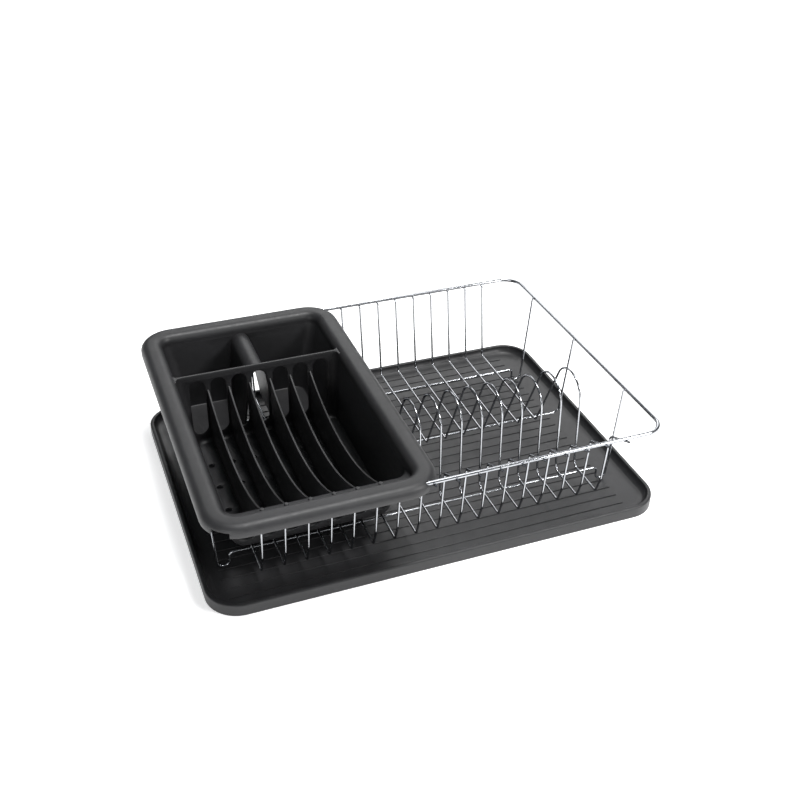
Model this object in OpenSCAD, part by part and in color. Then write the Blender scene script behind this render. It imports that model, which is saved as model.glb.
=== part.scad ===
// Dish drying rack: a drip tray, a welded wire basket standing in it, and a moulded
// caddy that hooks over the left end of the basket's rim.
// Millimetres. +Z is up, the tray stands on Z = 0, and X runs along the long side.

/* [Wire] */
// Diameter of the cross wires and the runners
wire_d = 2.4; // [1.8:0.1:3.2]
// Diameter of the heavier rim wire
rim_d = 4.2; // [3:0.1:6]
// Distance from one cross wire to the next
wire_pitch = 24; // [18:0.5:30]
// How far one wire sinks into another at a weld
weld = 0.15; // [0:0.05:0.3]

/* [Basket] */
// Basket centre from the origin, along X
basket_x = -6; // [-10:0.5:10]
// Basket centre from the origin, along Y
basket_y = 5; // [-10:0.5:10]
// Half the rim's length, to the middle of its wire
rim_half_x = 240; // [200:1:280]
// Front edge of the rim
rim_front = -191; // [-220:1:-160]
// Back edge of the rim
rim_back = 172.5; // [140:0.5:200]
// Corner radius of the rim
rim_corner = 22; // [15:1:35]
// Height of the middle of the rim wire
rim_z = 124.8; // [100:0.2:150]
// Height of the middle of the floor wires
floor_z = 25; // [18:0.5:35]
// Height of the middle of the wire at the bottom of a foot
foot_z = 6.4; // [5:0.1:10]
// Front bend of the floor wires
floor_front = -150; // [-180:0.5:-120]
// Back bend of the floor wires
floor_back = 155.5; // [120:0.5:180]
// Front runner position
runner_front = -110; // [-140:1:-90]
// Middle runner position
runner_middle = 6; // [-20:1:20]
// Back runner position
runner_back = 114; // [90:1:140]

/* [Plate loops] */
// Radius of the arch at the top of a loop
arch_r = 26.9; // [18:0.1:35]
// Position of the arch's centre, along Y
arch_y = -68.2; // [-90:0.1:-40]
// Height of the arch's centre
arch_z = 107.5; // [80:0.5:120]
// Where the loop's back leg leaves the floor
hook_y = -2.5; // [-20:0.5:10]
// Where the loop's front leg comes back to the floor
heel_y = -99.8; // [-120:0.2:-80]

/* [Tray] */
// Tray length
tray_l = 515; // [420:1:560]
// Tray width
tray_w = 372; // [300:1:420]
// Tray height
tray_h = 14; // [10:0.5:25]
// Tray centre from the origin, along Y
tray_y = 10; // [-10:0.5:20]
// Outer corner radius of the tray
tray_corner = 36; // [20:1:60]
// Height of the tray's flat floor
tray_floor = 4; // [3:0.1:8]
// Wall thickness of the tray
tray_wall = 2.4; // [1.5:0.1:4]
// Radius of the dished edge inside the tray
dish_r = 12; // [6:0.5:16]
// Number of drainage ribs on the tray floor
ribs = 23; // [11:1:31]
// Distance from rib to rib
rib_pitch = 14.76; // [10:0.02:20]
// Rib height
rib_h = 0.8; // [0.4:0.1:2]
// Rib width
rib_w = 1.2; // [0.6:0.1:3]

/* [Caddy] */
// Wall thickness of the caddy
caddy_wall = 2.2; // [1.5:0.1:3.5]
// Left side of the rolled edge's middle line
roll_left = -239; // [-245:0.5:-230]
// Right side of the rolled edge's middle line
roll_right = -25.6; // [-60:0.2:0]
// Front side of the rolled edge's middle line
roll_front = -188.6; // [-192:0.2:-180]
// Back side of the rolled edge's middle line
roll_back = 174.2; // [168:0.2:180]
// Corner radius of the rolled edge's middle line
roll_corner = 25; // [20:0.5:40]
// Half the width of the rolled edge
roll_half = 12.2; // [8:0.1:16]
// Radius of the rolled edge's shoulders
roll_r = 9; // [5:0.5:12]
// Top of the rolled edge
roll_top = 129.4; // [120:0.1:140]
// Height of the caddy's floor
tub_floor = 34; // [28:0.5:50]
// Front face of the slotted divider
divider_y = 75; // [40:1:110]
// Top of the slotted divider
divider_top = 125.8; // [100:0.2:128]
// Distance from slot to slot
slot_pitch = 24.1; // [18:0.1:30]
// Slot width
slot_w = 18; // [8:0.5:22]
// Lowest point of a slot
slot_low = 45; // [36:1:70]
// Highest point of a divider slot
slot_high = 117.6; // [90:0.2:122]
// Fin thickness
fin_t = 2.2; // [1.2:0.1:4]
// Drain hole diameter
drain_d = 7.5; // [4:0.5:10]

/* [Hidden] */
$fn = 48;

wire_count = 17;
middle_wire = (wire_count + 1) / 2;
runner_z = floor_z - wire_d + weld;
stub_z = rim_z - (rim_d + wire_d) / 2 + weld;
// a bend is a hair thicker than the straights, which run a little way into it
swell = 0.03;
lap = 0.2;

// front wall: a leaning foot, a near-vertical run, then a lip that rises outwards
front_wall = [[-156.8, 46], [-162.6, 108.4], [-197, 124.2]];
front_wall_r = [30, 7];
back_top = [170.3, stub_z];
back_end = [177, stub_z];

// runner ends
foot_inner = 216.5;
foot_outer = 228.9;
riser_top = rim_half_x - (rim_d + wire_d) / 2 + weld;
riser_high = rim_z + 0.6;
middle_bend = 227.5;

slot_mid = -130.6;
slots = 7;
slot_front_high = 104;

function unit(v) = v / norm(v);
function turn(a, b, c) =
  let (u = unit(b - a), v = unit(c - b))
  atan2(u[0] * v[1] - u[1] * v[0], u * v);
function crossing(p, a, q, b) =
  let (d = [cos(a), sin(a)], e = [cos(b), sin(b)], w = q - p)
  p + d * (w[0] * e[1] - w[1] * e[0]) / (d[0] * e[1] - d[1] * e[0]);

// A round wire bent in the XY plane: corner points and a bend radius for each inner corner
module bent_wire(points, radii, d) {
  last = len(points) - 1;
  turns = [for (i = [1:last - 1]) turn(points[i - 1], points[i], points[i + 1])];
  trims = [for (i = [0:last]) i == 0 || i == last ? 0 : radii[i - 1] * tan(abs(turns[i - 1]) / 2)];
  for (i = [0:last - 1]) {
    step = points[i + 1] - points[i];
    lap_in = i == 0 ? 0 : lap;
    lap_out = i == last - 1 ? 0 : lap;
    run = norm(step) - trims[i] - trims[i + 1] + lap_in + lap_out;
    start = points[i] + unit(step) * (trims[i] - lap_in);
    if (run > 0)
      translate([start[0], start[1], 0])
        rotate([0, 0, atan2(step[1], step[0])])
          rotate([0, 90, 0])
            cylinder(h = run, d = d);
  }
  for (i = [1:last - 1]) {
    u = unit(points[i] - points[i - 1]);
    side = sign(turns[i - 1]);
    r = radii[i - 1];
    middle = points[i] - u * trims[i] + side * r * [-u[1], u[0]];
    heading = atan2(u[1], u[0]);
    if (side != 0)
      translate([middle[0], middle[1], 0])
        rotate([0, 0, side > 0 ? heading - 90 : heading + 90 + turns[i - 1]])
          rotate_extrude(angle = abs(turns[i - 1]))
            translate([r, 0])
              circle(d = d + 2 * swell);
  }
}

// Sweeps a profile (x outwards, y up) around a rounded rectangle
module around(x0, x1, y0, y1, r) {
  lx = x1 - x0 - 2 * r;
  ly = y1 - y0 - 2 * r;
  runs = [[x1, y1 - r, 0, ly], [x0 + r, y1, 90, lx], [x0, y0 + r, 180, ly], [x1 - r, y0, 270, lx]];
  corners = [[x1 - r, y1 - r, 0], [x0 + r, y1 - r, 90], [x0 + r, y0 + r, 180], [x1 - r, y0 + r, 270]];
  for (s = runs)
    translate([s[0], s[1], 0])
      rotate([0, 0, s[2]])
        rotate([90, 0, 0])
          linear_extrude(s[3])
            children();
  for (c = corners)
    translate([c[0], c[1], 0])
      rotate([0, 0, c[2]])
        rotate_extrude(angle = 90)
          translate([r, 0])
            children();
}

module rounded_plate(x0, x1, y0, y1, r, z0, z1) {
  translate([x0 + r, y0, z0])
    cube([x1 - x0 - 2 * r, y1 - y0, z1 - z0]);
  translate([x0, y0 + r, z0])
    cube([x1 - x0, y1 - y0 - 2 * r, z1 - z0]);
  for (x = [x0 + r, x1 - r], y = [y0 + r, y1 - r])
    translate([x, y, z0])
      cylinder(h = z1 - z0, r = r);
}

/* ---- drip tray ---- */

// Edge section, measured from the outer face: skirt, rounded top and dished inside
module tray_edge() {
  reach = dish_r + 5.5;
  translate([-tray_wall, 0])
    square([tray_wall, tray_h - 2]);
  translate([-2, tray_h - 2])
    circle(r = 2);
  translate([-4, tray_h - 4])
    square([2, 4]);
  intersection() {
    translate([-reach, tray_floor + dish_r])
      difference() {
        circle(r = dish_r + tray_wall);
        circle(r = dish_r);
      }
    translate([-reach, 0])
      square([reach - 2, tray_h]);
  }
}

module drip_tray() {
  x = tray_l / 2;
  y = tray_w / 2;
  inset = dish_r + 5.5;
  color([0.09, 0.09, 0.095])
    translate([0, tray_y, 0]) {
      around(-x, x, -y, y, tray_corner)
        tray_edge();
      rounded_plate(-x + inset, x - inset, -y + inset, y - inset, tray_corner - inset,
        tray_floor - tray_wall, tray_floor);
      for (i = [0:ribs - 1])
        translate([-235.7, (i - (ribs - 1) / 2) * rib_pitch - rib_w / 2, tray_floor - 0.2])
          cube([455.1, rib_w, rib_h + 0.2]);
    }
}

/* ---- wire basket ---- */

module rim_wire() {
  color([0.8, 0.8, 0.82])
    translate([basket_x, basket_y, rim_z])
      around(-rim_half_x, rim_half_x, rim_front, rim_back, rim_corner)
        circle(d = rim_d);
}

module runner(points, radii, y) {
  color([0.8, 0.8, 0.82])
    translate([basket_x, basket_y + y, 0])
      rotate([90, 0, 0])
        bent_wire(points, radii, wire_d);
}

// A runner whose ends dip into a foot and then climb the end wall to the inside of the rim
module footed_runner(y) {
  right = [[foot_inner, runner_z], [foot_inner, foot_z], [foot_outer, foot_z],
    [riser_top, riser_high]];
  left = [for (i = [len(right) - 1:-1:0]) [-right[i][0], right[i][1]]];
  foot_r = 5.8;
  runner(concat(left, right), [foot_r, foot_r, 5, 5, foot_r, foot_r], y);
}

module middle_runner() {
  right = [[middle_bend, runner_z], [riser_top, riser_high]];
  left = [for (i = [len(right) - 1:-1:0]) [-right[i][0], right[i][1]]];
  runner(concat(left, right), [8, 8], runner_middle);
}

// A cross wire, from the back rim down across the floor and up to the front rim
module cross_wire(i, loop) {
  hook = [hook_y, floor_z];
  heel = [heel_y, floor_z];
  centre = [arch_y, arch_z];
  back_leg = atan2(centre[1] - hook[1], centre[0] - hook[0]) - asin(arch_r / norm(centre - hook));
  front_leg = atan2(centre[1] - heel[1], centre[0] - heel[0]) + asin(arch_r / norm(centre - heel));
  apex = crossing(hook, back_leg, heel, front_leg);
  back = [back_end, back_top, [floor_back, floor_z]];
  front = concat([[floor_front, floor_z]], front_wall);
  points = loop ? concat(back, [hook, apex, heel], front) : concat(back, front);
  radii = loop ? [2.5, 4, 3, arch_r, 9, 4, front_wall_r[0], front_wall_r[1]]
    : [2.5, 4, 4, front_wall_r[0], front_wall_r[1]];
  color([0.8, 0.8, 0.82])
    translate([basket_x + (i - middle_wire) * wire_pitch, basket_y, 0])
      rotate([90, 0, 90])
        bent_wire(points, radii, wire_d);
}

/* ---- caddy ---- */

roll_base = roll_top - roll_half;
roof = roll_top - caddy_wall;
cavity_left = roll_left + roll_half;
cavity_right = roll_right - roll_half;
cavity_front = roll_front + roll_half;
cavity_back = roll_back - roll_half;
cavity_r = roll_corner - roll_half;
// cavity at the floor, at the ledge under the front lip, and where it meets the rolled edge
low_left = -208.8;
low_right = -40.3;
low_front = -115;
low_r = 12;
ledge_z = 112.4;
ledge_front = -158;
cup_right = -59.5;
cup_back = 151.5;
cup_front = divider_y + caddy_wall;
tub_mid = (cavity_left + cavity_right) / 2;
tunnel_top = 116;
tunnel_r = 9;
tunnel_spread = 10;
fin_dip = 80.2;
fin_r = 262;
fin_mid = -33;
drain_rows = [26, -15, -56];

// Section of the rolled edge: an upside-down trough with rounded shoulders
module roll_section() {
  module shape(half, r, top) {
    translate([-half + r, 0])
      square([2 * (half - r), top]);
    translate([-half, 0])
      square([2 * half, top - r]);
    for (x = [-half + r, half - r])
      translate([x, top - r])
        circle(r = r);
  }
  difference() {
    shape(roll_half, roll_r, roll_half);
    translate([0, -0.01])
      shape(roll_half - caddy_wall, roll_r - caddy_wall, roll_half - caddy_wall + 0.01);
    translate([-20, -20])
      square([40, 20]);
  }
}

// A drafted block with rounded corners, from one rectangle at the bottom to another at the top
module drafted(low, r0, z0, high, r1, z1) {
  hull() {
    for (x = [low[0] + r0, low[1] - r0], y = [low[2] + r0, low[3] - r0])
      translate([x, y, z0])
        cylinder(h = 0.1, r = r0, $fn = 32);
    for (x = [high[0] + r1, high[1] - r1], y = [high[2] + r1, high[3] - r1])
      translate([x, y, z1 - 0.1])
        cylinder(h = 0.1, r = r1, $fn = 32);
  }
}

// The long bay in front of the divider
module bay_space(grow) {
  share = (ledge_z - tub_floor) / (roll_base - tub_floor);
  ledge_left = low_left + share * (cavity_left - low_left);
  ledge_right = low_right + share * (cavity_right - low_right);
  low = [low_left - grow, low_right + grow, low_front - grow, divider_y + grow];
  ledge = [ledge_left - grow, ledge_right + grow, ledge_front - grow, divider_y + grow];
  high = [cavity_left - grow, cavity_right + grow, cavity_front - grow, divider_y + grow];
  drafted(low, low_r + grow, tub_floor - grow, ledge, low_r + grow, ledge_z - grow);
  drafted(ledge, low_r + grow, ledge_z - grow - 0.1, high, cavity_r + grow, roll_base + 1);
}

// The rear space, later split in two by the tunnel
module cup_space(grow) {
  low = [low_left - grow, cup_right + grow, cup_front - grow, cup_back + grow];
  high = [cavity_left - grow, cavity_right + grow, cup_front - grow, cavity_back + grow];
  drafted(low, low_r + grow, tub_floor - grow, high, cavity_r + grow, roll_base + 1);
}

// Cross section of the tunnel between the two cups, seen along Y
module tunnel_section(grow) {
  r = tunnel_r + grow;
  z = tunnel_top - tunnel_r;
  low = tub_floor - caddy_wall - 0.2;
  translate([0, z])
    circle(r = r);
  polygon([[-r, z], [r, z], [r + tunnel_spread, low], [-r - tunnel_spread, low]]);
}

module along_y(y0, y1) {
  translate([0, y1, 0])
    rotate([90, 0, 0])
      linear_extrude(y1 - y0)
        children();
}

module obround(width, low, high) {
  translate([-width / 2, low + width / 2])
    square([width, high - low - width]);
  for (z = [low + width / 2, high - width / 2])
    translate([0, z])
      circle(d = width);
}

module slot_row(y0, y1, high) {
  for (k = [0:slots - 1])
    translate([slot_mid + (k - (slots - 1) / 2) * slot_pitch, 0, 0])
      along_y(y0, y1)
        obround(slot_w, slot_low, high);
}

// A fin: flat sides, a concave top edge, ends buried in the divider and the front wall
module fin() {
  top = roll_base - 0.4;
  translate([-fin_t / 2, 0, 0])
    rotate([90, 0, 90])
      linear_extrude(fin_t)
        difference() {
          polygon([[divider_y + 1, tub_floor - 1], [low_front - 1, tub_floor - 1],
            [ledge_front - 1, ledge_z - caddy_wall], [cavity_front + 6, top - 0.6],
            [cavity_front + 6, top], [divider_y + 1, top]]);
          translate([fin_mid, fin_dip + fin_r])
            circle(r = fin_r, $fn = 180);
        }
  translate([0, cavity_front + 11, top - 3.2])
    cylinder(h = 3.8, d = 4.6);
}

module wire_notches() {
  notch_r = rim_d / 2 + 0.8;
  wire_8 = (8 - middle_wire) * wire_pitch;
  for (y = [rim_front, rim_back])
    translate([roll_right - roll_corner, y, 0])
      rotate([90, 0, 90])
        linear_extrude(60) {
          translate([0, rim_z])
            circle(r = notch_r);
          translate([-notch_r, roll_base - 5])
            square([2 * notch_r, rim_z - roll_base + 5]);
        }
  translate([wire_8 - 2, rim_front - 8, roll_base - 5])
    cube([4, 18, 11]);
  translate([wire_8 - 2, rim_back - 4, roll_base - 5])
    cube([4, 9, 11]);
  // the raised stretch of lip at the front left corner
  translate([roll_left + roll_corner, roll_front + roll_corner, roll_base - 5])
    rotate([0, 0, 213])
      rotate_extrude(angle = 32)
        translate([roll_corner + 7, 0])
          square([8, 10.8]);
}

module caddy() {
  back_draft = atan((cavity_back - cup_back) / (roll_base + 1 - tub_floor));
  color([0.1, 0.1, 0.105])
    translate([basket_x, basket_y, 0])
      difference() {
        union() {
          translate([0, 0, roll_base])
            around(roll_left, roll_right, roll_front, roll_back, roll_corner)
              roll_section();
          difference() {
            union() {
              bay_space(caddy_wall);
              cup_space(caddy_wall);
            }
            bay_space(0);
            cup_space(0);
          }
          translate([cavity_left - 1.8, divider_y, roll_base - 2])
            cube([cavity_right - cavity_left + 3.6, caddy_wall, divider_top - roll_base + 2]);
          for (k = [0:slots - 2])
            translate([slot_mid + (k - (slots - 2) / 2) * slot_pitch, 0, 0])
              fin();
          difference() {
            translate([tub_mid, 0, 0])
              along_y(cup_front - 0.5, cavity_back + 1)
                tunnel_section(caddy_wall);
            translate([tub_mid - 60, cup_back + 1.2, tub_floor])
              rotate([-back_draft, 0, 0])
                translate([0, 0, -20])
                  cube([120, 40, 140]);
            translate([tub_mid - 60, 0, tub_floor - 40])
              cube([120, 250, 40 - caddy_wall]);
          }
        }
        translate([tub_mid, 0, 0])
          along_y(cup_front, cavity_back + 20)
            tunnel_section(0);
        slot_row(divider_y - 1, cup_front + 0.01, slot_high);
        slot_row(cavity_front - 4, low_front + 3, slot_front_high);
        for (k = [0:slots - 1], y = drain_rows)
          translate([slot_mid + (k - (slots - 1) / 2) * slot_pitch, y, tub_floor - 5])
            cylinder(h = 8, d = drain_d);
        wire_notches();
      }
}

drip_tray();
rim_wire();
footed_runner(runner_back);  // back_runner_wire
middle_runner();  // middle_runner_wire
footed_runner(runner_front);  // front_runner_wire
cross_wire(1, false);  // cross_wire_01
cross_wire(2, false);  // cross_wire_02
cross_wire(3, false);  // cross_wire_03
cross_wire(4, false);  // cross_wire_04
cross_wire(5, false);  // cross_wire_05
cross_wire(6, false);  // cross_wire_06
cross_wire(7, false);  // cross_wire_07
cross_wire(8, false);  // cross_wire_08
cross_wire(9, true);  // plate_wire_09
cross_wire(10, true);  // plate_wire_10
cross_wire(11, true);  // plate_wire_11
cross_wire(12, true);  // plate_wire_12
cross_wire(13, true);  // plate_wire_13
cross_wire(14, true);  // plate_wire_14
cross_wire(15, true);  // plate_wire_15
cross_wire(16, true);  // plate_wire_16
cross_wire(17, true);  // plate_wire_17
caddy();
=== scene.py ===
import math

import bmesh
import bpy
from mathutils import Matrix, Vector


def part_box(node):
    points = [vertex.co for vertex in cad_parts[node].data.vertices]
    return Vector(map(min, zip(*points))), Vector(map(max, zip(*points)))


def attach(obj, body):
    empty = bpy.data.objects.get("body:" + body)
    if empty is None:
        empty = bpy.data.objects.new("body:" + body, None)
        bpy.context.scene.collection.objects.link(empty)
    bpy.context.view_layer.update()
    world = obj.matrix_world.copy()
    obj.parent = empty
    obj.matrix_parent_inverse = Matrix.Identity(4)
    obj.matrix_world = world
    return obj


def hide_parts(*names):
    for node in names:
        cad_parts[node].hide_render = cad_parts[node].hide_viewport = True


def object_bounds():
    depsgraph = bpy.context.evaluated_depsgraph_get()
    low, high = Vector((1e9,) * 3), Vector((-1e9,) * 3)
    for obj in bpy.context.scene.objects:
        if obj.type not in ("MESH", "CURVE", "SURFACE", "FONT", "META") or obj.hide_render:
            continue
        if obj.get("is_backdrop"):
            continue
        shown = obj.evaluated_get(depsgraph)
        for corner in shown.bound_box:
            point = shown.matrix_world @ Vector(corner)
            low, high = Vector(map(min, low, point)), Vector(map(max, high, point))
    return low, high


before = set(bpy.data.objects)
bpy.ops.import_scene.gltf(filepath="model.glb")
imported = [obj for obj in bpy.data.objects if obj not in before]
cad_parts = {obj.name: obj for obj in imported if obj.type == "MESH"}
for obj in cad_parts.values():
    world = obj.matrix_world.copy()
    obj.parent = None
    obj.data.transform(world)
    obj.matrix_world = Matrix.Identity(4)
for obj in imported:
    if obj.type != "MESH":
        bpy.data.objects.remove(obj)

# %% [markdown]
# # A dish drying rack
# The rack is three loose things: a moulded drip tray, a chrome wire basket that stands in it and
# a moulded caddy that hooks over one end of the basket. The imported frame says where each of
# them is, so this script only makes them look real. It works in metres, and the names below
# that end in a plain number are in millimetres until `mm` turns them round.

mm = 0.001
cad_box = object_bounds()
rim_low, rim_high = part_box("rim_wire")
tray_low, tray_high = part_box("drip_tray")
caddy_low, caddy_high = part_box("caddy")
wire_names = [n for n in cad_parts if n.startswith(("cross_wire", "plate_wire"))]
print("object, mm:", [round(v / mm, 1) for v in cad_box[1] - cad_box[0]])

# %% [markdown]
# ## Camera
# A long-ish lens looks down on the rack from the front left. The camera is turned by two angles
# and a small roll, and its matrix is built from them, so nothing has to be tracked.

# %% Camera
camera_place = Vector((-0.3658, -0.9389, 0.7755))
heading, dip, roll = math.radians(21.58), math.radians(33.97), math.radians(1.24)

forward = Vector((math.sin(heading) * math.cos(dip), math.cos(heading) * math.cos(dip), -math.sin(dip)))
right = Vector((math.cos(heading), -math.sin(heading), 0.0))
up = right.cross(forward)
right_rolled = right * math.cos(roll) + up * math.sin(roll)
up_rolled = up * math.cos(roll) - right * math.sin(roll)

lens = bpy.data.cameras.new("camera")
lens.lens = 48.17
lens.sensor_width = 36.0
lens.clip_end = 50.0
camera = bpy.data.objects.new("camera", lens)
bpy.context.scene.collection.objects.link(camera)
turn = Matrix((right_rolled, up_rolled, -forward)).transposed()
camera.matrix_world = Matrix.Translation(camera_place) @ turn.to_4x4()
bpy.context.scene.camera = camera
print("camera is", round(camera_place.length, 3), "m from the middle of the rack")

# %% [markdown]
# ## Helpers for materials
# Colours are picked as sRGB hex values and turned to linear in one place. `add` puts one node in
# a tree with its settings and links, which keeps each material a short list of decisions.

# %% Material helpers
def linear(code):
    """An sRGB hex colour as a linear RGBA tuple."""
    parts = [int(code[i:i + 2], 16) / 255 for i in (1, 3, 5)]
    return tuple(p / 12.92 if p < 0.04045 else ((p + 0.055) / 1.055) ** 2.4 for p in parts) + (1.0,)


def add(tree, kind, settings=None, links=None, **properties):
    """Adds one node: properties on the node, settings on its sockets, links into its sockets."""
    node = tree.nodes.new(kind)
    for name, value in properties.items():
        setattr(node, name, value)
    for name, value in (settings or {}).items():
        node.inputs[name].default_value = value
    for name, source in (links or {}).items():
        tree.links.new(source, node.inputs[name])
    return node


def new_material(name):
    """An empty node material with its tree, its shader and its coordinates."""
    material = bpy.data.materials.new(name)
    material.use_nodes = True
    tree = material.node_tree
    tree.nodes.clear()
    shader = add(tree, "ShaderNodeBsdfPrincipled")
    add(tree, "ShaderNodeOutputMaterial", links={"Surface": shader.outputs["BSDF"]})
    place = add(tree, "ShaderNodeTexCoord")
    return material, tree, shader, place.outputs["Object"]


def per_metre(size_mm):
    """The Scale of a noise whose features are about this many millimetres apart."""
    return 1 / (size_mm * mm)


# %% [markdown]
# ## Moulded plastic
# Tray and caddy are taken to be injection moulded ABS, dyed charcoal. A spark eroded mould leaves
# a fine even grain, so the plastic is satin and not glossy. Such grain is typically about 0.2 mm,
# too fine to show here, so it is drawn at 0.7 mm. Over it lie the slow sink and flow shades of
# a large moulding.

# %% Charcoal moulded plastic
def moulded_plastic(name, deep, pale, roughness, grain_mm):
    material, tree, shader, where = new_material(name)
    flow = add(tree, "ShaderNodeTexNoise", {"Scale": per_metre(90), "Detail": 3.0, "Roughness": 0.55},
               {"Vector": where})
    mottle = add(tree, "ShaderNodeTexNoise", {"Scale": per_metre(6), "Detail": 4.0, "Roughness": 0.6},
                 {"Vector": where})
    grain = add(tree, "ShaderNodeTexNoise", {"Scale": per_metre(grain_mm), "Detail": 2.0},
                {"Vector": where})
    pits = add(tree, "ShaderNodeTexVoronoi", {"Scale": per_metre(grain_mm * 1.4)}, {"Vector": where})
    ramp = add(tree, "ShaderNodeValToRGB", links={"Fac": flow.outputs["Fac"]})
    ramp.color_ramp.elements[0].position = 0.3
    ramp.color_ramp.elements[0].color = linear(deep)
    ramp.color_ramp.elements[1].position = 0.75
    ramp.color_ramp.elements[1].color = linear(pale)
    speck = add(tree, "ShaderNodeMapRange",
                {"From Min": 0.3, "From Max": 0.7, "To Min": 0.93, "To Max": 1.07},
                {"Value": mottle.outputs["Fac"]})
    # a Mix node keeps its two colours in sockets 6 and 7 and its colour result in socket 2
    shade = add(tree, "ShaderNodeMix", {"Factor": 1.0},
                {6: ramp.outputs["Color"], 7: speck.outputs["Result"]},
                data_type="RGBA", blend_type="MULTIPLY")
    tree.links.new(shade.outputs[2], shader.inputs["Base Color"])
    dull = add(tree, "ShaderNodeMapRange",
               {"From Min": 0.25, "From Max": 0.75, "To Min": roughness - 0.05, "To Max": roughness + 0.06},
               {"Value": mottle.outputs["Fac"]})
    tree.links.new(dull.outputs["Result"], shader.inputs["Roughness"])
    relief = add(tree, "ShaderNodeMath", {}, {0: grain.outputs["Fac"], 1: pits.outputs["Distance"]},
                 operation="ADD")
    bump = add(tree, "ShaderNodeBump", {"Strength": 0.22, "Distance": 0.05 * mm},
               {"Height": relief.outputs["Value"]})
    slow = add(tree, "ShaderNodeBump", {"Strength": 0.12, "Distance": 0.5 * mm},
               {"Height": flow.outputs["Fac"], "Normal": bump.outputs["Normal"]})
    tree.links.new(slow.outputs["Normal"], shader.inputs["Normal"])
    shader.inputs["IOR"].default_value = 1.52
    return material


tray_plastic = moulded_plastic("tray_charcoal_abs", "#1f1f20", "#272729", 0.45, 0.7)
caddy_plastic = moulded_plastic("caddy_charcoal_abs", "#202021", "#28282a", 0.48, 0.7)
print("plastics:", tray_plastic.name, caddy_plastic.name)

# %% [markdown]
# ## Chrome plate
# The basket is taken to be drawn steel wire, bent, spot welded and then plated as a whole with
# nickel and chromium. Bright chromium is a slightly cool grey mirror. Its outline is tinted darker
# here than the metal's own, as a painted dark reflection: against a plain pale floor a true mirror
# would vanish, and the painted dark edge stands in for the reflected dark parts of a room. Plating
# over drawn wire keeps a faint waviness, and water leaves dull spots, so the roughness wanders
# between a mirror and a soft shine.

# %% Chrome plated wire
def chrome_plate(name, tint, shadow, roughness):
    material, tree, shader, where = new_material(name)
    cloud = add(tree, "ShaderNodeTexNoise", {"Scale": per_metre(14), "Detail": 3.0}, {"Vector": where})
    spots = add(tree, "ShaderNodeTexNoise", {"Scale": per_metre(1.6), "Detail": 2.0}, {"Vector": where})
    ramp = add(tree, "ShaderNodeValToRGB", links={"Fac": cloud.outputs["Fac"]})
    ramp.color_ramp.elements[0].position = 0.35
    ramp.color_ramp.elements[0].color = linear(shadow)
    ramp.color_ramp.elements[1].position = 0.65
    ramp.color_ramp.elements[1].color = linear(tint)
    tree.links.new(ramp.outputs["Color"], shader.inputs["Base Color"])
    shader.inputs["Metallic"].default_value = 1.0
    # painted reflection: this dark specular tint darkens the wire's edges like a reflected dark room
    shader.inputs["Specular Tint"].default_value = linear("#4e4f52")
    dull = add(tree, "ShaderNodeMapRange",
               {"From Min": 0.35, "From Max": 0.75, "To Min": roughness, "To Max": roughness + 0.1},
               {"Value": spots.outputs["Fac"]})
    tree.links.new(dull.outputs["Result"], shader.inputs["Roughness"])
    wave = add(tree, "ShaderNodeBump", {"Strength": 0.04, "Distance": 0.02 * mm},
               {"Height": spots.outputs["Fac"]})
    tree.links.new(wave.outputs["Normal"], shader.inputs["Normal"])
    return material


chrome = chrome_plate("bright_chrome_plate", "#bcbec1", "#adafb3", 0.11)
print("metal:", chrome.name)

# %% [markdown]
# ## Helpers for meshes
# Every piece ends as one mesh with its place in its points, riding on a body. `finish_piece`
# merges doubles, turns the faces outwards, shades it smooth except across real corners, and
# hands it to the frame.

# %% Mesh helpers
def finish_piece(name, bm, material, body, replaces=(), sharp=40.0, merge=0.00001, recalc=True):
    bmesh.ops.remove_doubles(bm, verts=bm.verts, dist=merge)
    if recalc:
        bmesh.ops.recalc_face_normals(bm, faces=bm.faces)
    mesh = bpy.data.meshes.new(name)
    bm.to_mesh(mesh)
    bm.free()
    mesh.materials.append(material)
    mesh.shade_smooth()
    mesh.set_sharp_from_angle(angle=math.radians(sharp))
    piece = bpy.data.objects.new(name, mesh)
    bpy.context.scene.collection.objects.link(piece)
    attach(piece, body)
    if replaces:
        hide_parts(*replaces)
    return piece


def rounded_path(corners, radii, step=math.radians(7)):
    """Points along a line of straight runs whose inner corners are arcs of the given radii."""
    corners = [Vector(c) for c in corners]
    path = [corners[0]]
    for before, corner, after, radius in zip(corners, corners[1:], corners[2:], radii):
        a, b = (before - corner).normalized(), (after - corner).normalized()
        bend = math.pi - a.angle(b)
        trim = radius * math.tan(bend / 2)
        centre = corner + (a + b).normalized() * (radius / math.cos(bend / 2))
        start, end = corner + a * trim - centre, corner + b * trim - centre
        parts = max(2, math.ceil(bend / step))
        for i in range(parts + 1):
            share = i / parts * bend
            arm = start * math.sin(bend - share) + end * math.sin(share)
            path.append(centre + arm / math.sin(bend))
    path.append(corners[-1])
    return path


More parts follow.
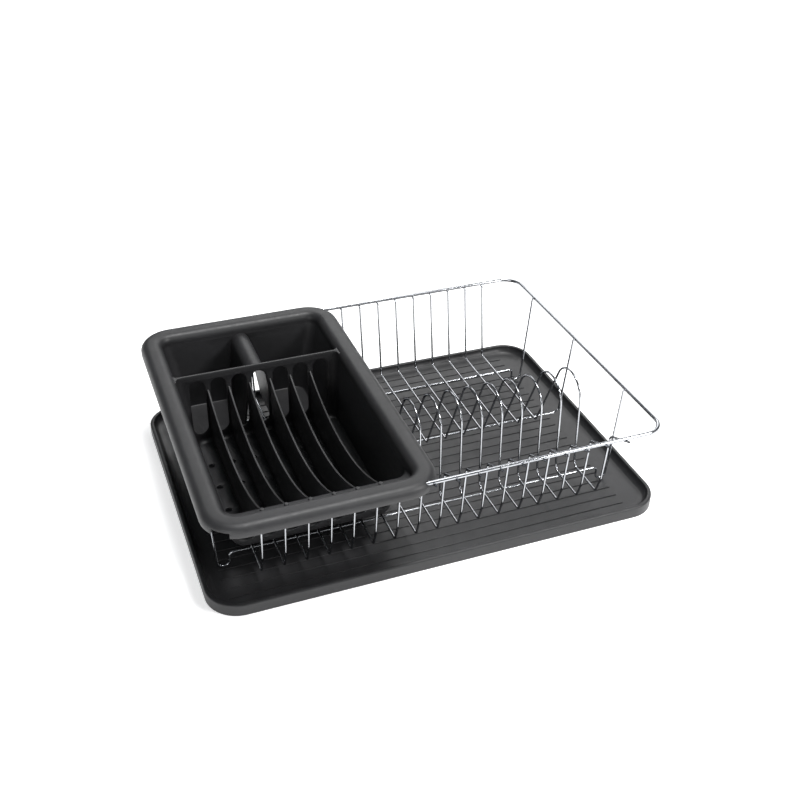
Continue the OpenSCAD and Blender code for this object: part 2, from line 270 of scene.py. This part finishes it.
def swept_wire(name, path, radius, closed=False, replaces=()):
    """A round bar along a path, made by a curve's round bevel, with its cut ends eased."""
    curve = bpy.data.curves.new(name, "CURVE")
    curve.dimensions = "3D"
    curve.bevel_depth = radius
    curve.bevel_resolution = 6
    curve.use_fill_caps = not closed
    spline = curve.splines.new("POLY")
    spline.points.add(len(path) - 1)
    for point, place in zip(spline.points, path):
        point.co = (*place, 1.0)
    spline.use_cyclic_u = closed
    holder = bpy.data.objects.new(name + "_line", curve)
    bpy.context.scene.collection.objects.link(holder)
    bm = bmesh.new()
    graph = bpy.context.evaluated_depsgraph_get()
    bm.from_mesh(bpy.data.meshes.new_from_object(holder.evaluated_get(graph)))
    bpy.data.objects.remove(holder)
    bpy.data.curves.remove(curve)
    bmesh.ops.remove_doubles(bm, verts=bm.verts, dist=0.000001)
    ends = {e for f in bm.faces if len(f.verts) > 4 for e in f.edges}
    if ends:
        bmesh.ops.bevel(bm, geom=list(ends), offset=radius * 0.45, segments=3, profile=0.5,
                        affect="EDGES", material=-1)
    return finish_piece(name, bm, chrome, "basket", replaces, sharp=60.0, merge=0.000001)


# %% [markdown]
# ## Rim wire
# The rim is one heavy wire bent to a rounded rectangle and butt welded. Its box gives its size,
# and only the corner radius has to be known besides.

# %% Rim wire
rim_radius = (rim_high.z - rim_low.z) / 2
rim_corner = 22 * mm
rim_z = rim_low.z + rim_radius
basket_x = (rim_low.x + rim_high.x) / 2
rim_left, rim_right = rim_low.x + rim_radius, rim_high.x - rim_radius
rim_front, rim_back = rim_low.y + rim_radius, rim_high.y - rim_radius

middle_front = Vector((basket_x, rim_front, rim_z))
rim_line = rounded_path(
    [middle_front, (rim_right, rim_front, rim_z), (rim_right, rim_back, rim_z),
     (rim_left, rim_back, rim_z), (rim_left, rim_front, rim_z), middle_front], [rim_corner] * 4)
rim = swept_wire("rim_wire_bright", rim_line[:-1], rim_radius, True, ["rim_wire"])
print("rim wire, mm:", round(2 * rim_radius / mm, 2), "points along it:", len(rim_line))

# %% [markdown]
# ## Cross wires and plate loops
# Each cross wire starts under the back rim, drops to the floor, crosses it and climbs to the
# front rim, where its end curls out under the rim. The right hand ones also rise in a tall
# loop that holds a plate. All are bent in one plane, so each is a list of corners in (Y, Z)
# with a bend radius for every corner. The loop's arch touches its two legs, so the corner where
# the legs would meet is worked out from the arch.

# %% Cross wires
basket_y = rim_front + 191 * mm
floor_z = 25.0
stub_z = 121.65


def tangent_corner(hook, heel, centre, radius):
    """Where two legs meet, if both touch a circle between them."""
    lines = []
    for foot, side in ((hook, -1), (heel, 1)):
        away = Vector(centre) - Vector(foot)
        lean = math.atan2(away.y, away.x) + side * math.asin(radius / away.length)
        lines.append((Vector(foot), Vector((math.cos(lean), math.sin(lean)))))
    (p, a), (q, b) = lines
    gap = q - p
    return p + a * ((gap.x * b.y - gap.y * b.x) / (a.x * b.y - a.y * b.x))


hook, heel, arch, arch_r = (-2.5, floor_z), (-99.8, floor_z), (-68.2, 107.5), 26.9
apex = tangent_corner(hook, heel, arch, arch_r)
back_end = [(177, stub_z), (170.3, stub_z), (155.5, floor_z)]
front_end = [(-150, floor_z), (-156.8, 46), (-162.6, 108.4), (-197, 124.2)]
plain_wire = (back_end + front_end, [2.5, 4, 4, 30, 7])
loop_wire = (back_end + [hook, tuple(apex), heel] + front_end, [2.5, 4, 3, arch_r, 9, 4, 30, 7])

for name in sorted(wire_names):
    low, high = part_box(name)
    across = (low.x + high.x) / 2
    corners, radii = loop_wire if name.startswith("plate") else plain_wire
    line = rounded_path([(0.0, y, z) for y, z in corners], radii)
    line = [Vector((across, basket_y + p.y * mm, p.z * mm)) for p in line]
    swept_wire(name + "_bright", line, 1.2 * mm, False, [name])
print("cross wires:", len(wire_names), "loop corner, mm:", [round(v, 1) for v in apex])

# %% [markdown]
# ## Runners and feet
# Three long wires lie under the cross wires. The outer two dip into a U at each end, which is
# the basket's foot, and all of them climb the end walls and are welded to the inside of the rim.

# %% Runners
runner_z = 22.75
foot_z = 6.4
riser_top = (236.85, 125.4)
foot_half = [(216.5, runner_z), (216.5, foot_z), (228.9, foot_z), riser_top]
foot_radii = [5.8, 5.8, 5, 5, 5.8, 5.8]
plain_half = [(227.5, runner_z), riser_top]
plain_radii = [8, 8]

for name, half, radii in (("back_runner_wire", foot_half, foot_radii),
                          ("middle_runner_wire", plain_half, plain_radii),
                          ("front_runner_wire", foot_half, foot_radii)):
    low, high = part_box(name)
    y = (low.y + high.y) / 2
    outline = [(-x, z) for x, z in reversed(half)] + half
    line = rounded_path([(x, 0.0, z) for x, z in outline], radii)
    line = [Vector((basket_x + p.x * mm, y, p.z * mm)) for p in line]
    swept_wire(name + "_bright", line, 1.2 * mm, False, [name])
print("runners made")

# %% [markdown]
# ## Spot welds
# Where two wires cross, the weld melts them into each other and leaves a small smooth swelling,
# which the plating rounds off further. Each is a flattened ball, small enough to read as part of
# the joint, and all of them are one mesh.

# %% Spot welds
def weld_beads(name, places):
    bm = bmesh.new()
    for place, size in places:
        ball = bmesh.ops.create_uvsphere(bm, u_segments=10, v_segments=6, radius=1.0)
        shape = Matrix.Translation(place) @ Matrix.Diagonal((*size, 1.0))
        bmesh.ops.transform(bm, matrix=shape, verts=ball["verts"])
    return finish_piece(name, bm, chrome, "basket", sharp=80.0, merge=0.0000001)


across_all = sorted((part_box(n)[0].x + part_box(n)[1].x) / 2 for n in wire_names)
runner_ys = [(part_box(n)[0].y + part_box(n)[1].y) / 2
             for n in ("back_runner_wire", "middle_runner_wire", "front_runner_wire")]
bead = Vector((1.75, 1.75, 1.1)) * mm
crossing_z = (floor_z + runner_z) / 2 * mm
welds = [(Vector((x, y, crossing_z)), bead) for x in across_all for y in runner_ys]
touch_z = rim_z - rim_radius
welds += [(Vector((x, rim_back, touch_z)), Vector((1.7, 2.0, 1.0)) * mm) for x in across_all]
welds += [(Vector((basket_x + side * 238 * mm, y, rim_z)), Vector((1.0, 1.7, 1.6)) * mm)
          for side in (-1, 1) for y in runner_ys]
weld_beads("spot_welds", welds)
print("welds:", len(welds))

# %% [markdown]
# ## Drip tray
# The tray is a thin moulding: a skirt, a narrow rounded top edge and a dished inside that runs
# into a flat floor. Its edge has the same section all round, so one profile is pushed along
# the sides and spun round the corners, and the two openings left in the middle are filled.

# %% Sweeping a section round a rounded rectangle
def sweep_round(bm, section, low, high, corner, steps=14):
    """Pushes a section, given as (outwards, up) points, round a rounded rectangle."""
    verts = [bm.verts.new((high.x + x, low.y + corner, z)) for x, z in section]
    edges = [bm.edges.new(pair) for pair in zip(verts, verts[1:])]
    runs = [Vector((0, high.y - low.y - 2 * corner, 0)), Vector((low.x - high.x + 2 * corner, 0, 0)),
            Vector((0, low.y - high.y + 2 * corner, 0)), Vector((high.x - low.x - 2 * corner, 0, 0))]
    centres = [(high.x - corner, high.y - corner, 0), (low.x + corner, high.y - corner, 0),
               (low.x + corner, low.y + corner, 0), (high.x - corner, low.y + corner, 0)]
    for run, centre in zip(runs, centres):
        moved = bmesh.ops.extrude_edge_only(bm, edges=edges)["geom"]
        bmesh.ops.translate(bm, vec=run, verts=[g for g in moved if isinstance(g, bmesh.types.BMVert)])
        edges = [g for g in moved if isinstance(g, bmesh.types.BMEdge)]
        ring = edges + list({v for e in edges for v in e.verts})
        spun = bmesh.ops.spin(bm, geom=ring, cent=centre, axis=(0, 0, 1), angle=math.pi / 2,
                              steps=steps, use_merge=False)
        edges = [g for g in spun["geom_last"] if isinstance(g, bmesh.types.BMEdge)]
    bmesh.ops.remove_doubles(bm, verts=bm.verts, dist=0.00001)


# %% Tray shell
tray_floor = 4 * mm
dish_r = 12.0
dish_reach = dish_r + 5.5
wall = 2.4
tray_top = (tray_high.z - tray_low.z) / mm

inside = [(-dish_reach, 4.0), (-5.9, 4.0), (-4.6, tray_top), (0.0, tray_top), (0.0, 0.0), (-wall, 0.0),
          (-wall, 9.0), (-dish_reach, 4.0 - wall)]
section = rounded_path([(x, z, 0) for x, z in inside], [10.2, 1.3, 2.0, 0.5, 0.6, 2.5],
                       step=math.radians(11))
bm = bmesh.new()
sweep_round(bm, [(p.x * mm, p.y * mm) for p in section], tray_low, tray_high, 36 * mm)
open_edges = [e for e in bm.edges if e.is_boundary]
filled = bmesh.ops.holes_fill(bm, edges=open_edges, sides=0)["faces"]
bmesh.ops.inset_individual(bm, faces=filled, thickness=1.5 * mm)
print("tray floor faces:", len(filled), "section points:", len(section))

# %% [markdown]
# The drainage ribs are low lines across the flat floor. Each is a long block with its long top
# edges rounded, sunk a little way into the floor.

# %% Tray ribs
rib_count, rib_pitch, rib_w, rib_h = 23, 14.76 * mm, 1.2 * mm, 0.8 * mm
rib_left, rib_right = -235.7 * mm, 219.4 * mm
tray_mid = (tray_low.y + tray_high.y) / 2
for i in range(rib_count):
    sunk = 0.3 * mm
    rib = bmesh.ops.create_cube(bm, size=1.0)["verts"]
    size = Matrix.Diagonal((rib_right - rib_left, rib_w, rib_h + sunk, 1.0))
    place = Vector(((rib_left + rib_right) / 2, tray_mid + (i - (rib_count - 1) / 2) * rib_pitch,
                    tray_floor + (rib_h - sunk) / 2))
    bmesh.ops.transform(bm, matrix=Matrix.Translation(place) @ size, verts=rib)
    top = {e for v in rib for e in v.link_edges if all(w.co.z > tray_floor for w in e.verts)}
    bmesh.ops.bevel(bm, geom=list(top), offset=0.35 * mm, segments=2, profile=0.5,
                    affect="EDGES", material=-1)
finish_piece("drip_tray_moulding", bm, tray_plastic, "tray", ["drip_tray"])
print("ribs:", rib_count)

# %% [markdown]
# ## Caddy
# The caddy is one deep moulding. Its skin is laid out as a stack of outlines, from the lip that
# hangs outside the rim, over the rolled edge and down the drafted walls to the floor, and then
# given its wall thickness. The slots, drain holes and notches are cut through that wall, just as
# the mould's cores leave them open. Walls lean outwards so that the part leaves the mould.

# %% Caddy outlines
floor, shelf, lip = 34.0, 112.4, 118.2
roll = {"left": -239.0, "right": -25.6, "front": -188.6, "back": 174.2, "corner": 25.0}
roll_half, roll_r, roll_top = 12.2, 9.0, 129.4
divider_front, divider_back, divider_top = 75.0, 77.2, 125.8
caddy_wall = 2.2
slot_mid, slot_pitch, slot_w, slot_low = -130.6, 24.1, 18.0, 45.0
slot_xs = [slot_mid + (k - 3) * slot_pitch for k in range(7)]
fin_xs = [slot_mid + (k - 2.5) * slot_pitch for k in range(6)]
cavity_left, cavity_right = roll["left"] + roll_half, roll["right"] - roll_half
step_y = 76.1


def between(z, low, high, z0=floor, z1=lip):
    return low + (high - low) * (z - z0) / (z1 - z0)


def wall_at(z):
    """Where the cavity's walls are at a height: left, bay right, cup right, front, back."""
    front = (between(z, -115, -158, floor, shelf) if z < shelf
             else between(z, -158, -176.4, shelf, lip))
    return (between(z, -208.8, cavity_left), between(z, -40.3, cavity_right),
            between(z, -59.5, cavity_right), front, between(z, 151.5, 162))


def arc(x, y, r, start, end, parts=8):
    steps = [math.radians(start + (end - start) * i / parts) for i in range(parts + 1)]
    return [(x + r * math.cos(a), y + r * math.sin(a)) for a in steps]


def outline(left, bay_right, cup_right, front, back, r, z):
    """A rounded rectangle with a step in its right side, hidden behind the divider."""
    flat = (arc(left + r, front + r, r, 180, 270) + arc(bay_right - r, front + r, r, 270, 360)
            + [(bay_right, step_y), (cup_right, step_y)]
            + arc(cup_right - r, back - r, r, 0, 90) + arc(left + r, back - r, r, 90, 180))
    return [(x, y, z) for x, y in flat]


def rolled(out, z):
    """An outline of the rolled edge, so far out from its middle line."""
    right = roll["right"] + out
    return outline(roll["left"] - out, right, right, roll["front"] - out, roll["back"] + out,
                   roll["corner"] + out, z)


def walled(z, inset=0.0):
    left, bay_right, cup_right, front, back = wall_at(z)
    return outline(left + inset, bay_right - inset, cup_right - inset, front + inset, back - inset,
                   between(z, 12, 12.8) - inset, z)


def loft(bm, loops, start_cap=False, end_cap=False):
    """Joins a stack of equal closed loops with quads."""
    rings = [[bm.verts.new(p) for p in loop] for loop in loops]
    for a, b in zip(rings, rings[1:]):
        for i in range(len(a)):
            j = (i + 1) % len(a)
            bm.faces.new((a[i], a[j], b[j], b[i]))
    if start_cap:
        bm.faces.new(reversed(rings[0]))
    if end_cap:
        bm.faces.new(rings[-1])


def slab(bm, points, push):
    """A flat outline pushed along a vector into a closed block."""
    face = bm.faces.new([bm.verts.new(p) for p in points])
    moved = bmesh.ops.extrude_face_region(bm, geom=[face])["geom"]
    far = [g for g in moved if isinstance(g, bmesh.types.BMVert)]
    bmesh.ops.translate(bm, vec=Vector(push), verts=far)
    return face, far


def settle(bm, thickness=0.0, cutter=None, bevel=0.0):
    """Runs a mesh through wall thickness, cuts and an edge radius, and moves it into place."""
    bmesh.ops.remove_doubles(bm, verts=bm.verts, dist=0.001)
    bmesh.ops.dissolve_degenerate(bm, dist=0.001, edges=bm.edges)
    bmesh.ops.recalc_face_normals(bm, faces=bm.faces)
    holders = []
    for part in [bm] + ([cutter] if cutter else []):
        mesh = bpy.data.meshes.new("working")
        part.to_mesh(mesh)
        part.free()
        holders.append(bpy.data.objects.new("working", mesh))
        bpy.context.scene.collection.objects.link(holders[-1])
    if thickness:
        shell = holders[0].modifiers.new("wall", "SOLIDIFY")
        shell.thickness, shell.offset, shell.use_even_offset = thickness, -1.0, True
    if cutter:
        cut = holders[0].modifiers.new("cut", "BOOLEAN")
        cut.object, cut.operation, cut.solver, cut.use_self = holders[1], "DIFFERENCE", "EXACT", True
    if bevel:
        ease = holders[0].modifiers.new("ease", "BEVEL")
        ease.width, ease.segments, ease.limit_method = bevel, 2, "ANGLE"
        ease.angle_limit = math.radians(50)
        ease.use_clamp_overlap = False
    graph = bpy.context.evaluated_depsgraph_get()
    done = bmesh.new()
    done.from_mesh(bpy.data.meshes.new_from_object(holders[0].evaluated_get(graph)))
    for holder in holders:
        bpy.data.objects.remove(holder)
    move = Matrix.Translation((basket_x, basket_y, 0)) @ Matrix.Diagonal((mm, mm, mm, 1.0))
    bmesh.ops.transform(done, matrix=move, verts=done.verts)
    return done


print("cavity at the floor, mm:", [round(v, 1) for v in wall_at(floor)])
print("slots at, mm:", [round(x, 1) for x in slot_xs])

# %% [markdown]
# The cutters are plain blocks: the front slots and the drain holes, the hollow of the ridge
# between the cups, the notches that let the rim and the last cross wire pass under the roll, and
# the short stretch at the front left corner where the lip is raised.

# %% Caddy cutters
def slot_outline(x, y, width, low, high):
    r = width / 2
    ends = arc(x, high - r, r, 0, 180, 16) + arc(x, low + r, r, 180, 360, 16)
    return [(px, y, pz) for px, pz in ends]


ridge_x, ridge_r, ridge_top, ridge_spread = (cavity_left + cavity_right) / 2, 9.0, 116.0, 10.0


def ridge_outline(y, r, low):
    z = ridge_top - ridge_r
    over = arc(ridge_x, z, r, 180, 0, 20)
    return [(x, y, pz) for x, pz in [(ridge_x - r - ridge_spread, low)] + over
            + [(ridge_x + r + ridge_spread, low)]]


drain_rows, drain_r = (26, -15, -56), 3.75
notch_low, notch_r, rim_mid = 112.2, 2.9, 124.8
cuts = bmesh.new()
for x in slot_xs:
    slab(cuts, slot_outline(x, -180.4, slot_w, slot_low, 104), (0, 68.4, 0))
    for y in drain_rows:
        slab(cuts, [(px, py, 30) for px, py in arc(x, y, drain_r, 0, 345, 23)], (0, 0, 8))
slab(cuts, ridge_outline(divider_back + 0.05, ridge_r, 31), (0, 112, 0))
for y in (-191.0, 172.5):
    top = [(-50.6, py, pz) for py, pz in arc(y, rim_mid, notch_r, 0, 180, 12)]
    slab(cuts, [(-50.6, y - notch_r, notch_low), (-50.6, y + notch_r, notch_low)] + top, (60, 0, 0))
for low, high in ((-199, -181), (168.5, 177.5)):
    corners = ((-26, low), (-22, low), (-22, high), (-26, high))
    slab(cuts, [(x, y, notch_low) for x, y in corners], (0, 0, 11))
corner_x, corner_y = roll["left"] + roll["corner"], roll["front"] + roll["corner"]
ring = arc(corner_x, corner_y, 32, 213, 245) + arc(corner_x, corner_y, 40, 245, 213)
slab(cuts, [(x, y, notch_low) for x, y in ring], (0, 0, 10.8))
bmesh.ops.recalc_face_normals(cuts, faces=cuts.faces)
print("cutter faces:", len(cuts.faces))

# %% [markdown]
# Real mouldings have no knife edges inside: the floor runs into the walls through a small radius,
# and so does the shelf under the front lip, which keeps shine and shade flowing round the corners.

# %% Caddy shell
loops = [rolled(roll_half, 117.2), rolled(roll_half, roll_top - roll_r)]
loops += [rolled(o, z) for o, z in arc(roll_half - roll_r, roll_top - roll_r, roll_r, 10, 90)]
loops += [rolled(o, z) for o, z in arc(roll_r - roll_half, roll_top - roll_r, roll_r, 90, 180)]
loops += [walled(lip), walled(116.4), walled(114), walled(112.9), walled(111.6), walled(109.5)]
loops += [walled(z) for z in (90, 70, 50)]
foot = 1.2
loops += [walled(floor + foot * (1 - math.sin(math.radians(t))), foot * (1 - math.cos(math.radians(t))))
          for t in (0, 15, 30, 45, 60, 75, 90)]
bm = bmesh.new()
loft(bm, loops, end_cap=True)
shell = settle(bm, caddy_wall, cuts, 0.45)
print("caddy shell faces:", len(shell.faces))
finish_piece("caddy_shell", shell, caddy_plastic, "caddy", ["caddy"], sharp=35.0,
             recalc=False)

# %% [markdown]
# The divider is a slotted sheet between the side walls. It widens into them at both ends and
# into the floor at its foot, which stiffens it and shows as a soft dark line.

# %% Slotted divider
def divider_outline(z, inset=0.0):
    left, bay_right, cup_right, front, back = wall_at(min(z, lip))
    rise = min(max(z - floor, 0.0), 5.0)
    flare = 5.0 - math.sqrt(25.0 - (5.0 - rise) ** 2)
    y0, y1, r0, r1 = divider_front - flare + inset, divider_back + flare - inset, 8.0, 3.0
    near = arc(left + r0, y0 - r0, r0, 180, 90) + arc(bay_right - r0, y0 - r0, r0, 90, 0)
    far = arc(cup_right - r1, y1 + r1, r1, 0, -90) + arc(left + r1, y1 + r1, r1, 270, 180)
    flat = ([(left - 1.9, y0 - r0)] + near + [(bay_right + 1.9, y0 - r0), (bay_right + 1.9, step_y),
            (cup_right + 1.9, step_y), (cup_right + 1.9, y1 + r1)] + far + [(left - 1.9, y1 + r1)])
    return [(x, y, z) for x, y in flat]


bm = bmesh.new()
levels = [33.0, 34.0, 34.4, 35.2, 36.3, 37.6, 39.0, 60.0, 90.0, lip, 122.0]
loops = [divider_outline(z) for z in levels]
loops += [divider_outline(divider_top - 0.9 + 0.9 * math.sin(math.radians(t)),
                          0.9 - 0.9 * math.cos(math.radians(t))) for t in (0, 30, 60, 90)]
loft(bm, loops, start_cap=True, end_cap=True)
holes = bmesh.new()
for x in slot_xs:
    slab(holes, slot_outline(x, 60, slot_w, slot_low, 117.6), (0, 30, 0))
bmesh.ops.recalc_face_normals(holes, faces=holes.faces)
divider = settle(bm, 0.0, holes, 0.45)
print("divider faces:", len(divider.faces))
finish_piece("caddy_divider", divider, caddy_plastic, "caddy", sharp=35.0, recalc=False)

# %% [markdown]
# Six thin fins stand across the bay. Their top edges dip in one long curve, so a plate's rim
# rests on them, and a small round pad stands at the front end of each.

# %% Fins
fin_mid, fin_dip, fin_r, fin_top, fin_t = -33.0, 80.2, 262.0, 116.8, 2.2
reach = math.sqrt(fin_r ** 2 - (fin_dip + fin_r - fin_top) ** 2)
ys = [fin_mid - reach + i * (76 - fin_mid + reach) / 40 for i in range(41)]
curve = [(y, fin_dip + fin_r - math.sqrt(fin_r ** 2 - (y - fin_mid) ** 2)) for y in ys]
side = [(76, 33), (-116, 33), (-159, 110.2), (-170.4, 116.2), (-170.4, fin_top)] + curve
bm = bmesh.new()
for x in fin_xs:
    face, far = slab(bm, [(x - fin_t / 2, y, z) for y, z in side], (fin_t, 0, 0))
    rim_edges = {e for ring in (list(face.verts), far) for v in ring for e in v.link_edges
                 if all(w in ring and w.co.z > 78 for w in e.verts)
                 and max(w.co.y for w in e.verts) > -166}
    bmesh.ops.bevel(bm, geom=list(rim_edges), offset=0.6, segments=2, profile=0.5,
                    affect="EDGES", material=-1)
    pad = bmesh.ops.create_cone(bm, cap_ends=True, cap_tris=False, segments=24, radius1=2.3,
                                radius2=2.3, depth=3.8, matrix=Matrix.Translation((x, -165.4, 115.5)))
    top = {e for v in pad["verts"] for e in v.link_edges if all(w.co.z > 117 for w in e.verts)}
    bmesh.ops.bevel(bm, geom=list(top), offset=0.6, segments=2, profile=0.5, affect="EDGES", material=-1)
fins = settle(bm)
print("fin faces:", len(fins.faces))
finish_piece("caddy_fins", fins, caddy_plastic, "caddy", sharp=35.0, recalc=False)

# %% [markdown]
# Between the two cups the floor rises as a hollow ridge, open underneath and at the back, so the
# core that forms it can be drawn out. Its far end is cut to the slope of the back wall.

# %% Hollow ridge
bm = bmesh.new()
arch = ridge_outline(76.8, ridge_r + caddy_wall, 31.85) + ridge_outline(76.8, ridge_r, 31.85)[::-1]
_, far = slab(bm, arch, (0, 60, 0))
for v in far:
    v.co.y = between(v.co.z, 151.5, 162) + 1.0
ridge = settle(bm)
finish_piece("caddy_ridge", ridge, caddy_plastic, "caddy", sharp=35.0, recalc=False)
print("caddy made, box, mm:", [round(v / mm, 1) for v in caddy_high - caddy_low])

# %% [markdown]
# ## Floor and light
# A pale matt floor and soft lights, as on a product table. A wide softbox behind the rack glances
# off everything that faces up: the rolled edge, the tray's floor and the long wires. The high sun
# and the overhead lamp reach into the bays, the key draws the bright line down the upright wires,
# and the low fill opens the shade under the caddy. The floor is given a little glow of its own,
# so shadows on it stay faint.

# %% Floor
def stage_floor():
    bm = bmesh.new()
    bmesh.ops.create_grid(bm, x_segments=1, y_segments=1, size=8.0)
    mesh = bpy.data.meshes.new("floor")
    bm.to_mesh(mesh)
    bm.free()
    floor = bpy.data.objects.new("floor", mesh)
    bpy.context.scene.collection.objects.link(floor)
    material, tree, shader, where = new_material("pale_matt_floor")
    for socket, value in (("Base Color", linear("#f4f4f4")), ("Roughness", 0.9),
                          ("Specular IOR Level", 0.1), ("Emission Color", linear("#ffffff")),
                          ("Emission Strength", 0.62)):
        shader.inputs[socket].default_value = value
    mesh.materials.append(material)
    floor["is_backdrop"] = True


stage_floor()
print("floor, m:", 16.0)

# %% Lights
def soft_light(name, place, size, power, aim=(0.0, 0.0, 0.05)):
    lamp = bpy.data.lights.new(name, "AREA")
    lamp.shape = "RECTANGLE"
    lamp.size, lamp.size_y = size
    lamp.energy = power
    holder = bpy.data.objects.new(name, lamp)
    holder.location = place
    holder.rotation_mode = "QUATERNION"
    holder.rotation_quaternion = (Vector(place) - Vector(aim)).to_track_quat("Z", "Y")
    bpy.context.scene.collection.objects.link(holder)


soft_light("back_softbox", (0.9, 2.0, 1.55), (2.2, 1.1), 22)
soft_light("overhead", (0.4, 0.1, 2.2), (0.9, 0.9), 13)
soft_light("key", (1.2, -1.3, 1.3), (0.5, 0.5), 26)
soft_light("low_fill", (-1.2, -1.5, 0.55), (1.0, 0.5), 7)

sun = bpy.data.lights.new("daylight", "SUN")
sun.energy = 1.8
sun.angle = math.radians(12)
sun_holder = bpy.data.objects.new("daylight", sun)
sun_holder.rotation_mode = "QUATERNION"
sun_holder.rotation_quaternion = Vector((0.16, -0.1, 1.0)).to_track_quat("Z", "Y")
bpy.context.scene.collection.objects.link(sun_holder)

sky = bpy.data.worlds.new("studio")
bpy.context.scene.world = sky
sky.use_nodes = True
sky.node_tree.nodes["Background"].inputs["Color"].default_value = linear("#dfe3e8")
sky.node_tree.nodes["Background"].inputs["Strength"].default_value = 0.2
bpy.context.scene.view_settings.view_transform = "Standard"

# %% Size and finish
seen_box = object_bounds()
cad_size, seen_size = cad_box[1] - cad_box[0], seen_box[1] - seen_box[0]
print("grew by, mm:", [round((b - a) / mm, 2) for a, b in zip(cad_size, seen_size)])
